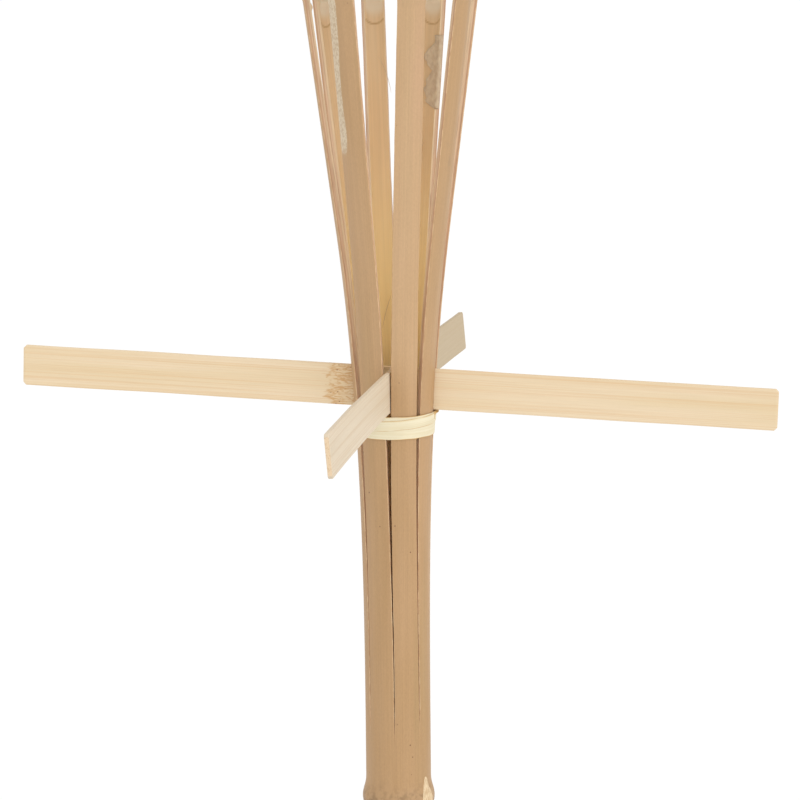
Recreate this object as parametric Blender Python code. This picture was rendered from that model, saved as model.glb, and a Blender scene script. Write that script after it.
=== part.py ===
"""A bamboo garden torch, as an assembly of separate pieces.

A hollow bamboo culm is split from its top into eight strips. Two crossed slats, pushed through the
splits, hold the strips open, and a flat bast tie below them stops the splits running down. Above
them, rows of flat bamboo are woven round the strips to make a basket. A fuel canister with a
screwed burner hangs in the basket by its flange.

Metres, +Z up the culm. The origin is on the culm's axis at the ground line, and the pointed end
reaches below it.
"""

import math

import bmesh
import bpy
from mathutils import Matrix, Vector

GAP = 0.0003  # between two pieces that touch

# Culm
STRIPS = 8
CULM_RADIUS = 0.0173
CULM_WALL = 0.0033
GROUND_DEPTH = 0.200
TIP_CUT_HEIGHT = 0.075
LOWER_NODE_Z = 0.440
POLE_INTERNODE = 0.370
HEAD_INTERNODE = 0.432
STRIPS_ABOVE_NODE = 0.118
NODE_SWELLING = 0.0021
NODE_HALF_HEIGHT = 0.012
DIAPHRAGM_BELOW_RIDGE = 0.012
DIAPHRAGM_THICKNESS = 0.003
DIAPHRAGM_HOLE_RADIUS = 0.004
DIAPHRAGM_STUB = 0.0022

# Splits and the way the strips spring open
KERF = 0.0004
ROOT_ABOVE_NODE = 0.0325
OPENING_POWER = 2.85
BENT_ABOVE_SLATS = 0.082
TOP_SLOPE = 0.03

# Crossed slats
SLATS_ABOVE_NODE = 0.221
SLAT_LENGTH = 0.400
SLAT_WIDTH = 0.0214
SLAT_THICKNESS = 0.0025
SLAT_CLEARANCE = 0.0004
LAP_CLEARANCE = 0.0007
SLAT_CHAMFER = 0.0015
LEFT_RIGHT_TILT = math.radians(2.2)
FRONT_BACK_TILT = math.radians(0.9)

# Bast tie under the slats
TIE_CLEARANCE = 0.0004
TIE_HEIGHT = 0.0122
TIE_THICKNESS = 0.0012
TIE_BELOW_SLATS = 0.0015

# Rows woven round the strips
WEAVE_ROWS = 7
WEAVE_BELOW_TOP = 0.006
WEAVER_WIDTH = 0.0075
WEAVER_THICKNESS = 0.001
WEAVE_ROW_GAP = 0.0015
WEAVER_CLEARANCE = 0.0006

# Fuel canister
CANISTER_HEIGHT = 0.092
CANISTER_CLEARANCE = 0.0022
CANISTER_SEAM = 0.004
SHEET = 0.0008
FLANGE_OVERHANG = 0.0015
LID_DOME_HEIGHT = 0.004
NECK_RADIUS = 0.0150
NECK_WALL = 0.0012
NECK_FLANGE = 0.003
NECK_HEIGHT = 0.010

# Burner
THREAD_CLEARANCE = 0.0004
CAP_WALL = 0.0016
CAP_TOP = 0.0012
GASKET_THICKNESS = 0.0015
GASKET_WIDTH = 0.0016
TUBE_RADIUS = 0.006
TUBE_WALL = 0.0008
TUBE_ABOVE_CAP = 0.022
TUBE_BELOW_CAP = 0.012
TUBE_FLANGE = 0.003
WICK_CLEARANCE = 0.0004
WICK_ABOVE_TUBE = 0.006
WICK_ABOVE_BOTTOM = 0.018
SNUFFER_CLEARANCE = 0.0006
SNUFFER_HEADROOM = 0.009
KNOB_RADIUS = 0.0045
KNOB_NECK_RADIUS = 0.002
KNOB_NECK_LENGTH = 0.002

# Facets
CULM_SIDES = 32
STRIP_ARC_STEPS = 4
WEAVER_STEPS_PER_STRIP = 6
ROUND_SIDES = 40
SMALL_SIDES = 24

# Worked out from the sizes above
SECTOR = 2 * math.pi / STRIPS
CULM_BORE = CULM_RADIUS - CULM_WALL
TIP_Z = -GROUND_DEPTH
LOWEST_NODE_Z = LOWER_NODE_Z - POLE_INTERNODE
SPLIT_ROOT_Z = LOWER_NODE_Z + ROOT_ABOVE_NODE
SLAT_Z = LOWER_NODE_Z + SLATS_ABOVE_NODE
STRAIGHT_FROM_Z = SLAT_Z + BENT_ABOVE_SLATS
UPPER_NODE_Z = LOWER_NODE_Z + HEAD_INTERNODE
UPPER_DIAPHRAGM_Z = UPPER_NODE_Z - DIAPHRAGM_BELOW_RIDGE
STRIP_TOP_Z = UPPER_NODE_Z + STRIPS_ABOVE_NODE
TOP_ROW_Z = STRIP_TOP_Z - WEAVE_BELOW_TOP - WEAVER_WIDTH / 2
FLANGE_Z = STRIP_TOP_Z + GAP
CANISTER_BOTTOM_Z = FLANGE_Z + SHEET - CANISTER_HEIGHT
LID_Z = FLANGE_Z + SHEET + GAP
NECK_FLANGE_Z = LID_Z + LID_DOME_HEIGHT - GAP - SHEET
NECK_TOP_Z = NECK_FLANGE_Z + NECK_HEIGHT
GASKET_Z = NECK_TOP_Z + GAP
CAP_UNDERSIDE_Z = GASKET_Z + GASKET_THICKNESS + GAP
CAP_TOP_Z = CAP_UNDERSIDE_Z + CAP_TOP
CAP_SKIRT_Z = LID_Z + LID_DOME_HEIGHT + SHEET + 2 * GAP
TUBE_FLANGE_Z = CAP_TOP_Z + GAP
TUBE_TOP_Z = TUBE_FLANGE_Z + TUBE_ABOVE_CAP
WICK_RADIUS = TUBE_RADIUS - TUBE_WALL - WICK_CLEARANCE
WICK_TOP_Z = TUBE_TOP_Z + WICK_ABOVE_TUBE
SNUFFER_Z = TUBE_FLANGE_Z + SHEET + GAP


def clear_scene():
    for obj in list(bpy.data.objects):
        bpy.data.objects.remove(obj, do_unlink=True)


def material(name, colour, roughness, metallic=0.0):
    made = bpy.data.materials.new(name)
    made.use_nodes = True
    shader = made.node_tree.nodes["Principled BSDF"]
    shader.inputs["Base Color"].default_value = (*colour, 1.0)
    shader.inputs["Roughness"].default_value = roughness
    shader.inputs["Metallic"].default_value = metallic
    return made


def object_from(bm, name, look):
    """The finished object of a bmesh, with its faces pointing out and its flat faces kept sharp."""
    bmesh.ops.recalc_face_normals(bm, faces=bm.faces)
    mesh = bpy.data.meshes.new(name)
    bm.to_mesh(mesh)
    bm.free()
    mesh.shade_smooth()
    mesh.set_sharp_from_angle(angle=math.radians(35))
    if look:
        mesh.materials.append(look)
    obj = bpy.data.objects.new(name, mesh)
    bpy.context.collection.objects.link(obj)
    return obj


def turned(name, outline, look, sides=ROUND_SIDES):
    """A solid of revolution about Z, from a closed outline of (radius, z)."""
    bm = bmesh.new()
    verts = [bm.verts.new((radius, 0.0, z)) for radius, z in outline]
    ring = zip(verts, verts[1:] + verts[:1])
    edges = [bm.edges.new(pair) for pair in ring if max(v.co.x for v in pair) > 0]
    bmesh.ops.spin(
        bm,
        geom=verts + edges,
        cent=(0, 0, 0),
        axis=(0, 0, 1),
        angle=2 * math.pi,
        steps=sides,
        use_merge=True,
    )
    bmesh.ops.remove_doubles(bm, verts=bm.verts, dist=1e-6)
    return object_from(bm, name, look)


def lofted(name, sections, look, ring=False):
    """A closed solid through sections, each a loop with as many points, with end caps or as a ring."""
    bm = bmesh.new()
    loops = [[bm.verts.new(point) for point in section] for section in sections]
    nexts = loops[1:] + loops[:1] if ring else loops[1:]
    for below, above in zip(loops, nexts):
        for i in range(len(below)):
            j = (i + 1) % len(below)
            bm.faces.new((below[i], below[j], above[j], above[i]))
    if not ring:
        bm.faces.new(loops[0])
        bm.faces.new(reversed(loops[-1]))
    return object_from(bm, name, look)


def bump(distance, half_width):
    """1 at no distance, easing to 0 at half_width."""
    share = min(abs(distance) / half_width, 1.0)
    return (1 + math.cos(math.pi * share)) / 2


def culm_radius(z):
    nodes = (LOWEST_NODE_Z, LOWER_NODE_Z, UPPER_NODE_Z)
    return CULM_RADIUS + NODE_SWELLING * sum(bump(z - node, NODE_HALF_HEIGHT) for node in nodes)


def opening(z):
    """How far a strip has moved out from where it grew, and its slope there."""
    widest_gap = SLAT_THICKNESS + 2 * SLAT_CLEARANCE - KERF
    at_slats = widest_gap / (2 * math.sin(SECTOR / 2))
    run_to_slats = SLAT_Z - SLAT_WIDTH / 2 - SPLIT_ROOT_Z
    bent_z = min(z, STRAIGHT_FROM_Z)
    run = max(bent_z - SPLIT_ROOT_Z, 0.0)
    out = at_slats * (run / run_to_slats) ** OPENING_POWER
    slope = OPENING_POWER * out / run if run > 0 else 0.0
    out += slope * (min(z, UPPER_NODE_Z) - bent_z)
    above = max(z - UPPER_NODE_Z, 0.0)
    straightening = (slope - TOP_SLOPE) / (STRIP_TOP_Z - UPPER_NODE_Z) if above > 0 else 0.0
    out += slope * above - straightening * above**2 / 2
    return out, slope - straightening * above


def strip_section(centre_angle, z):
    """The cut across one strip: part of the culm's ring, moved out along centre_angle."""
    shift, _ = opening(z)
    outer = culm_radius(z)
    inner = CULM_BORE - DIAPHRAGM_STUB * bump(z - UPPER_DIAPHRAGM_Z, DIAPHRAGM_THICKNESS)
    points = []
    for radius, direction in ((outer, 1), (inner, -1)):
        half = SECTOR / 2 - math.asin(KERF / 2 / radius)
        for step in range(STRIP_ARC_STEPS + 1):
            angle = direction * half * (2 * step / STRIP_ARC_STEPS - 1)
            points.append(Vector((shift + radius * math.cos(angle), radius * math.sin(angle), z)))
    turn = Matrix.Rotation(centre_angle, 4, "Z")
    return [turn @ point for point in points]


def strip_heights():
    """Close together where the strips bend and at the node, and far apart where they are straight."""
    below_node = min(UPPER_NODE_Z - NODE_HALF_HEIGHT, UPPER_DIAPHRAGM_Z - DIAPHRAGM_THICKNESS)
    above_node = UPPER_NODE_Z + NODE_HALF_HEIGHT
    stretches = [
        (SPLIT_ROOT_Z + GAP, STRAIGHT_FROM_Z, 8),
        (STRAIGHT_FROM_Z, below_node, 1),
        (below_node, above_node, 9),
        (above_node, STRIP_TOP_Z, 4),
    ]
    heights = [low + (high - low) * i / steps for low, high, steps in stretches for i in range(steps)]
    return heights + [STRIP_TOP_Z]


def make_strips(look):
    for i in range(STRIPS):
        centre_angle = SECTOR * (i + 0.5)
        sections = [strip_section(centre_angle, z) for z in strip_heights()]
        lofted(f"strip_{i + 1}", sections, look)


def node_outline(node_z):
    """The outer side of the culm past one node, upwards."""
    heights = [node_z + share * NODE_HALF_HEIGHT for share in (-1, -0.5, 0, 0.5, 1)]
    return [(culm_radius(z), z) for z in heights]


def diaphragm_outline(node_z):
    """The bore's side of one node, downwards: a wall across the bore with a small hole in it."""
    top = node_z - DIAPHRAGM_BELOW_RIDGE + DIAPHRAGM_THICKNESS / 2
    bottom = top - DIAPHRAGM_THICKNESS
    return [
        (CULM_BORE, top),
        (DIAPHRAGM_HOLE_RADIUS, top),
        (DIAPHRAGM_HOLE_RADIUS, bottom),
        (CULM_BORE, bottom),
    ]


def slant_cutter():
    """A prism that takes away everything below the slanting cut at the culm's lower end."""
    run = 2 * CULM_RADIUS
    past = 0.2
    low = (CULM_RADIUS + past * run, TIP_Z - past * TIP_CUT_HEIGHT)
    high = (-CULM_RADIUS - past * run, TIP_Z + (1 + past) * TIP_CUT_HEIGHT)
    floor_z = low[1] - run
    profile = [low, high, (high[0], floor_z), (low[0], floor_z)]
    sections = [[(x, y, z) for x, z in profile] for y in (-run, run)]
    cutter = lofted("slant_cutter", sections, None)
    cutter.hide_render = True
    cutter.display_type = "WIRE"
    return cutter


def make_pole(look):
    """The culm below the splits, with its lower end cut slanting to a point."""
    outline = [(CULM_RADIUS, TIP_Z - GAP)]
    outline += node_outline(LOWEST_NODE_Z) + node_outline(LOWER_NODE_Z)
    outline += [(CULM_RADIUS, SPLIT_ROOT_Z), (CULM_BORE, SPLIT_ROOT_Z)]
    outline += diaphragm_outline(LOWER_NODE_Z) + diaphragm_outline(LOWEST_NODE_Z)
    outline += [(CULM_BORE, TIP_Z - GAP)]
    pole = turned("pole", outline, look, CULM_SIDES)
    cut = pole.modifiers.new("slant", "BOOLEAN")
    cut.operation = "DIFFERENCE"
    cut.object = slant_cutter()


def slat_outline(length, notch_side):
    """A slat seen on its wide face, (along, up), with a notch half its width deep at the middle."""
    end = length / 2
    edge = SLAT_WIDTH / 2
    notch = SLAT_THICKNESS / 2 + LAP_CLEARANCE
    floor = -GAP / 2
    far = end - SLAT_CHAMFER
    low = edge - SLAT_CHAMFER
    plain = [(-far, -edge), (far, -edge), (end, -low), (end, low), (far, edge)]
    plain += [(notch, edge), (notch, floor), (-notch, floor), (-notch, edge)]
    plain += [(-far, edge), (-end, low), (-end, -low)]
    if notch_side > 0:
        return plain
    return [(along, -up) for along, up in plain]


def make_slat(name, notch_side, heading, tilt, look):
    """A flat slat on edge. heading turns it about Z, and a positive tilt lowers its far end."""
    outline = slat_outline(SLAT_LENGTH, notch_side)
    half = SLAT_THICKNESS / 2
    sections = [[(along, side, up) for along, up in outline] for side in (-half, half)]
    slat = lofted(name, sections, look)
    slat.location = (0, 0, SLAT_Z)
    slat.rotation_euler = (0, tilt, heading)
    return slat


def make_tie(look):
    """The bast strip, as the band that its turns make round the strips."""
    top = SLAT_Z - SLAT_WIDTH / 2 - TIE_BELOW_SLATS
    bottom = top - TIE_HEIGHT
    inside = [(CULM_RADIUS + opening(z)[0] + TIE_CLEARANCE, z) for z in (top, bottom)]
    outside = [(radius + TIE_THICKNESS, z) for radius, z in reversed(inside)]
    turned("bast_tie", inside + outside, look)


def inner_edge_radius(z):
    """How far the strips' inner edges, their closest points, are from the axis."""
    half = SECTOR / 2
    return math.hypot(opening(z)[0] + CULM_BORE * math.cos(half), CULM_BORE * math.sin(half))


def weaver_radius(angle, z, first_strip):
    """The middle of a weaver's thickness: outside first_strip, inside the next, and so on."""
    reach = WEAVER_THICKNESS / 2 + WEAVER_CLEARANCE
    outside = opening(z)[0] + CULM_RADIUS + reach
    inside = inner_edge_radius(z) - reach
    phase = (angle - SECTOR * (first_strip + 0.5)) * STRIPS / 2
    return (outside + inside) / 2 + (outside - inside) / 2 * math.cos(phase)


def weaver_section(angle, z, first_strip):
    """The cut across a weaver, lying flat along the strips' slope."""
    _, slope = opening(z)
    along = Vector((slope, 0, 1)).normalized()
    out = Vector((along.z, 0, -along.x))
    middle = Vector((weaver_radius(angle, z, first_strip), 0, z))
    corners = ((-1, -1), (1, -1), (1, 1), (-1, 1))
    turn = Matrix.Rotation(angle, 4, "Z")
    half_width = along * WEAVER_WIDTH / 2
    half_thickness = out * WEAVER_THICKNESS / 2
    return [turn @ (middle + half_thickness * side + half_width * up) for side, up in corners]


def make_weave(look):
    """Flat strips woven round, each one row with its ends lapped, the next row the other way round."""
    steps = STRIPS * WEAVER_STEPS_PER_STRIP
    for row in range(WEAVE_ROWS):
        z = TOP_ROW_Z - row * (WEAVER_WIDTH + WEAVE_ROW_GAP)
        angles = [2 * math.pi * step / steps for step in range(steps)]
        sections = [weaver_section(angle, z, row % 2) for angle in angles]
        lofted(f"weaver_row_{row + 1}", sections, look, ring=True)


def canister_radius():
    """As wide as passes the weave where the canister's bottom hangs, the tightest place."""
    weave = WEAVER_THICKNESS + WEAVER_CLEARANCE
    seam = SHEET + GAP
    return inner_edge_radius(CANISTER_BOTTOM_Z) - weave - CANISTER_CLEARANCE - seam


def flange_radius():
    return CULM_RADIUS + opening(STRIP_TOP_Z)[0] + FLANGE_OVERHANG


def make_canister(look):
    """The tin's wall, with a wide flange that hangs on the strips' top ends, and its bottom."""
    radius = canister_radius()
    flange = flange_radius()
    bore = radius - SHEET
    floor_z = CANISTER_BOTTOM_Z + SHEET
    foot = floor_z + GAP
    outline = [(radius, foot), (radius, FLANGE_Z), (flange, FLANGE_Z), (flange, FLANGE_Z + SHEET)]
    outline += [(bore, FLANGE_Z + SHEET), (bore, foot)]
    turned("canister_wall", outline, look)

    seam = radius + GAP
    seam_z = CANISTER_BOTTOM_Z + CANISTER_SEAM
    outline = [(0, CANISTER_BOTTOM_Z), (seam + SHEET, CANISTER_BOTTOM_Z), (seam + SHEET, seam_z)]
    outline += [(seam, seam_z), (seam, floor_z), (0, floor_z)]
    turned("canister_bottom", outline, look)


def make_lid(look):
    """The pressed top, folded down round the canister's flange and domed towards the neck."""
    hole = NECK_RADIUS + GAP
    fold = flange_radius() + GAP
    dome = canister_radius() - SHEET
    dome_z = LID_Z + LID_DOME_HEIGHT
    foot = NECK_RADIUS + NECK_FLANGE + GAP
    outline = [(hole, dome_z), (foot, dome_z), (dome, LID_Z), (fold, LID_Z)]
    outline += [(fold, FLANGE_Z), (fold + SHEET, FLANGE_Z), (fold + SHEET, LID_Z + SHEET)]
    outline += [(dome, LID_Z + SHEET), (foot, dome_z + SHEET), (hole, dome_z + SHEET)]
    turned("canister_lid", outline, look)


def make_neck(look):
    bore = NECK_RADIUS - NECK_WALL
    flange = NECK_RADIUS + NECK_FLANGE
    flange_top = NECK_FLANGE_Z + SHEET
    outline = [(bore, NECK_FLANGE_Z), (flange, NECK_FLANGE_Z), (flange, flange_top)]
    outline += [(NECK_RADIUS, flange_top), (NECK_RADIUS, NECK_TOP_Z), (bore, NECK_TOP_Z)]
    turned("filler_neck", outline, look)


def make_gasket(look):
    inner = NECK_RADIUS - GASKET_WIDTH
    top = GASKET_Z + GASKET_THICKNESS
    outline = [(inner, GASKET_Z), (NECK_RADIUS, GASKET_Z), (NECK_RADIUS, top), (inner, top)]
    turned("cap_gasket", outline, look)


def make_burner_cap(look):
    hole = TUBE_RADIUS + GAP
    bore = NECK_RADIUS + THREAD_CLEARANCE
    rim = bore + CAP_WALL
    outline = [(hole, CAP_UNDERSIDE_Z), (bore, CAP_UNDERSIDE_Z), (bore, CAP_SKIRT_Z)]
    outline += [(rim, CAP_SKIRT_Z), (rim, CAP_TOP_Z), (hole, CAP_TOP_Z)]
    turned("burner_cap", outline, look)


def make_wick_tube(look):
    bore = TUBE_RADIUS - TUBE_WALL
    flange = TUBE_RADIUS + TUBE_FLANGE
    foot = CAP_TOP_Z - TUBE_BELOW_CAP
    outline = [(bore, foot), (TUBE_RADIUS, foot), (TUBE_RADIUS, TUBE_FLANGE_Z)]
    outline += [(flange, TUBE_FLANGE_Z), (flange, TUBE_FLANGE_Z + SHEET)]
    outline += [(TUBE_RADIUS, TUBE_FLANGE_Z + SHEET), (TUBE_RADIUS, TUBE_TOP_Z), (bore, TUBE_TOP_Z)]
    turned("wick_tube", outline, look, SMALL_SIDES)


def make_wick(look):
    """The wick, from near the canister's bottom to above the tube."""
    foot = CANISTER_BOTTOM_Z + SHEET + WICK_ABOVE_BOTTOM
    rounded = WICK_RADIUS / 4
    outline = [(0, foot), (WICK_RADIUS, foot), (WICK_RADIUS, WICK_TOP_Z - rounded)]
    outline += [(WICK_RADIUS - rounded, WICK_TOP_Z), (0, WICK_TOP_Z)]
    turned("wick", outline, look, SMALL_SIDES)


def make_snuffer(look):
    """The cap that puts the flame out, with a knob on top. It stands over the wick tube."""
    bore = TUBE_RADIUS + SNUFFER_CLEARANCE
    outside = bore + SHEET
    ceiling = WICK_TOP_Z + SNUFFER_HEADROOM
    shoulder = ceiling + SHEET
    outline = [(0, ceiling), (bore, ceiling), (bore, SNUFFER_Z), (outside, SNUFFER_Z)]
    outline += [(outside, shoulder), (KNOB_NECK_RADIUS, shoulder)]
    arc_steps = 6
    start = math.asin(KNOB_NECK_RADIUS / KNOB_RADIUS)
    knob_z = shoulder + KNOB_NECK_LENGTH + KNOB_RADIUS * math.cos(start)
    for step in range(arc_steps):
        turn = start + (math.pi - start) * step / arc_steps
        outline.append((KNOB_RADIUS * math.sin(turn), knob_z - KNOB_RADIUS * math.cos(turn)))
    outline.append((0, knob_z + KNOB_RADIUS))
    turned("snuffer", outline, look, SMALL_SIDES)


def main():
    clear_scene()
    bamboo = material("bamboo", (0.56, 0.38, 0.19), 0.5)
    split_bamboo = material("split_bamboo", (0.82, 0.66, 0.42), 0.6)
    bast = material("bast", (0.88, 0.79, 0.52), 0.6)
    tinplate = material("tinplate", (0.62, 0.62, 0.6), 0.35, 1.0)
    brass = material("brass", (0.75, 0.53, 0.2), 0.3, 1.0)
    rubber = material("rubber", (0.03, 0.03, 0.03), 0.8)
    glass_fibre = material("glass_fibre", (0.85, 0.83, 0.76), 0.9)

    make_pole(bamboo)
    make_strips(bamboo)
    make_slat("cross_slat_left_right", 1, 0.0, LEFT_RIGHT_TILT, split_bamboo)
    make_slat("cross_slat_front_back", -1, math.pi / 2, FRONT_BACK_TILT, split_bamboo)
    make_tie(bast)
    make_weave(split_bamboo)
    make_canister(tinplate)
    make_lid(tinplate)
    make_neck(brass)
    make_gasket(rubber)
    make_burner_cap(brass)
    make_wick_tube(brass)
    make_wick(glass_fibre)
    make_snuffer(tinplate)


main()
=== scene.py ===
"""The looks of a bamboo garden torch: split culm, crossed slats, bast tie, woven basket and oil burner.

Metres, +Z up, in the CAD model's frame. Every mesh carries a point attribute "rest": where the material
was before the piece was bent or opened, with the grain along its z. The procedural patterns read it.
"""

from math import asin, atan2, cos, hypot, pi, radians, sin, sqrt

import bmesh
import bpy
from mathutils import Matrix, Quaternion, Vector, noise


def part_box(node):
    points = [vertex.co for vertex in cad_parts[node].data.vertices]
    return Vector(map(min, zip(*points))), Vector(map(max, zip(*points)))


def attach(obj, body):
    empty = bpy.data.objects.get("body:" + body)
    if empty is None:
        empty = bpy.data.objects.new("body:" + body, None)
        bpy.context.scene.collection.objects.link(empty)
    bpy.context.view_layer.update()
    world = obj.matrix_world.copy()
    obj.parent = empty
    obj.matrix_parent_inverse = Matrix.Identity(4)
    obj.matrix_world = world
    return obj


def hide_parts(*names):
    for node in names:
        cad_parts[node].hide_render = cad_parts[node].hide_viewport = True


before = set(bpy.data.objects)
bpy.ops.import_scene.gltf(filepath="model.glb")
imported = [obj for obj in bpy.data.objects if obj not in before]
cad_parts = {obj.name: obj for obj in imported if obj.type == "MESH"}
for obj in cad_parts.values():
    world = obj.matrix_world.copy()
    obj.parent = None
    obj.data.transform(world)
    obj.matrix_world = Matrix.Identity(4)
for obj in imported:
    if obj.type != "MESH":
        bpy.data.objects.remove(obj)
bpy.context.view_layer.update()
ROOT_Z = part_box("pole")[1].z  # where the splits begin
TOP_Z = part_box("strip_1")[1].z  # the strips' cut ends

# Culm and its splits, as in the CAD model
STRIPS = 8
SECTOR = 2 * pi / STRIPS
CULM_RADIUS = 0.0173
CULM_WALL = 0.0033
CULM_BORE = CULM_RADIUS - CULM_WALL
TIP_CUT_HEIGHT = 0.075
LOWEST_NODE_Z = 0.070
LOWER_NODE_Z = 0.440
UPPER_NODE_Z = 0.872
NODES = (LOWEST_NODE_Z, LOWER_NODE_Z, UPPER_NODE_Z)
NODE_SWELLING = 0.0021
NODE_HALF_HEIGHT = 0.012
DIAPHRAGM_BELOW_RIDGE = 0.012
DIAPHRAGM_HALF = 0.0015
DIAPHRAGM_HOLE = 0.004
DIAPHRAGM_STUB = 0.0009
KERF = 0.0004
OPENING_POWER = 2.85
BENT_ABOVE_SLATS = 0.082
TOP_SLOPE = 0.03
SLAT_Z = 0.661
SLAT_LENGTH = 0.400
SLAT_WIDTH = 0.0214
SLAT_THICKNESS = 0.0025
SLAT_CLEARANCE = 0.0004
SLAT_CHAMFER = 0.0015
SLAT_ARRIS = 0.0003
LEFT_RIGHT_TILT = radians(2.2)
FRONT_BACK_TILT = radians(0.9)
SLAT_TWIST = radians(-5)
WEAVER_THICKNESS = 0.001
WEAVER_CLEARANCE = 0.0006
EVEN_FROM_Z = 0.884  # the strips' widths even out from here to the basket's foot
EVEN_RUN = 0.034

# What only shows up close
CORNER = 0.00028  # the pale corner along each strip's edges
SCAR_LIP = 0.0003  # the sheath's scar round the culm, below each ridge
SCAR_BELOW_RIDGE = 0.0065
FLAT_STEP = 0.0028  # between rows along plain culm
NODE_STEP = 0.0008  # between rows at a node
ARC_STEPS = 14  # across one strip
WALL_STEPS = 4  # through the culm's wall
# How far each split lies from an even eighth at its root, and where it ends
SPLIT_DRIFT = [radians(degrees) for degrees in (6, 4, 2, -1, 2, -3, 4, 7)]
# The strips aren't all the same width: how far each split lies from an even eighth by the slats, and what
# a (strip, edge) gains as the strips part
KEPT_DRIFT = [radians(degrees) for degrees in (0, 0, 0, 0, 0, -6, 0, 2)]
EDGE_GAIN = {(6, 1): radians(3), (7, 0): radians(-3), (5, 0): radians(-4), (4, 1): radians(-4)}
SPLIT_END_Z = (0.479, 0.482, 0.477, 0.484, 0.480, 0.483, 0.4755, 0.480)
# Strips that look different, counted from 0
SCRAPED_STRIP = 5
PALEST_UPPER_STRIP = 6
BLUSHED_STRIPS = (6, 0, 3)
FLAKED_STRIP = 1
BRANCH_SCARS = ((LOWER_NODE_Z, radians(-24)), (LOWEST_NODE_Z, radians(156)))

# Camera
VIEW_AZIMUTH = radians(10.2)
VIEW_ELEVATION = radians(10.4)
VIEW_ROLL = radians(0.58)
VIEW_DISTANCE = 1.911
VIEW_LENS = 164.66
AIM_RIGHT = 0.00277
AIM_BELOW = 0.00705


def smooth(share):
    share = min(max(share, 0.0), 1.0)
    return share * share * (3 - 2 * share)


def bump(distance, half_width):
    """1 at no distance, easing to 0 at half_width."""
    share = min(abs(distance) / half_width, 1.0)
    return (1 + cos(pi * share)) / 2


def shares(count):
    """From 0 to 1 in even steps."""
    return [step / count for step in range(count + 1)]


def drift(seed, place, wavelength):
    """An irregular curve between about -1 and 1, the same for the same seed."""
    return noise.noise(Vector((seed * 7.31, 3.17, place / wavelength))) * 1.6


def polar(radius, angle, z=0.0):
    return Vector((radius * cos(angle), radius * sin(angle), z))


def direction(azimuth, elevation):
    """Towards a place seen from the front (-Y), with azimuth growing to the right."""
    return Vector((sin(azimuth) * cos(elevation), -cos(azimuth) * cos(elevation), sin(elevation)))


def add_object(name, data):
    obj = bpy.data.objects.new(name, data)
    bpy.context.scene.collection.objects.link(obj)
    return obj


def paint(red, green, blue):
    """A linear colour from display values out of 255."""
    levels = [value / 255 for value in (red, green, blue)]
    linear = [s / 12.92 if s <= 0.04045 else ((s + 0.055) / 1.055) ** 2.4 for s in levels]
    return (*linear, 1.0)


# Materials


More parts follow.
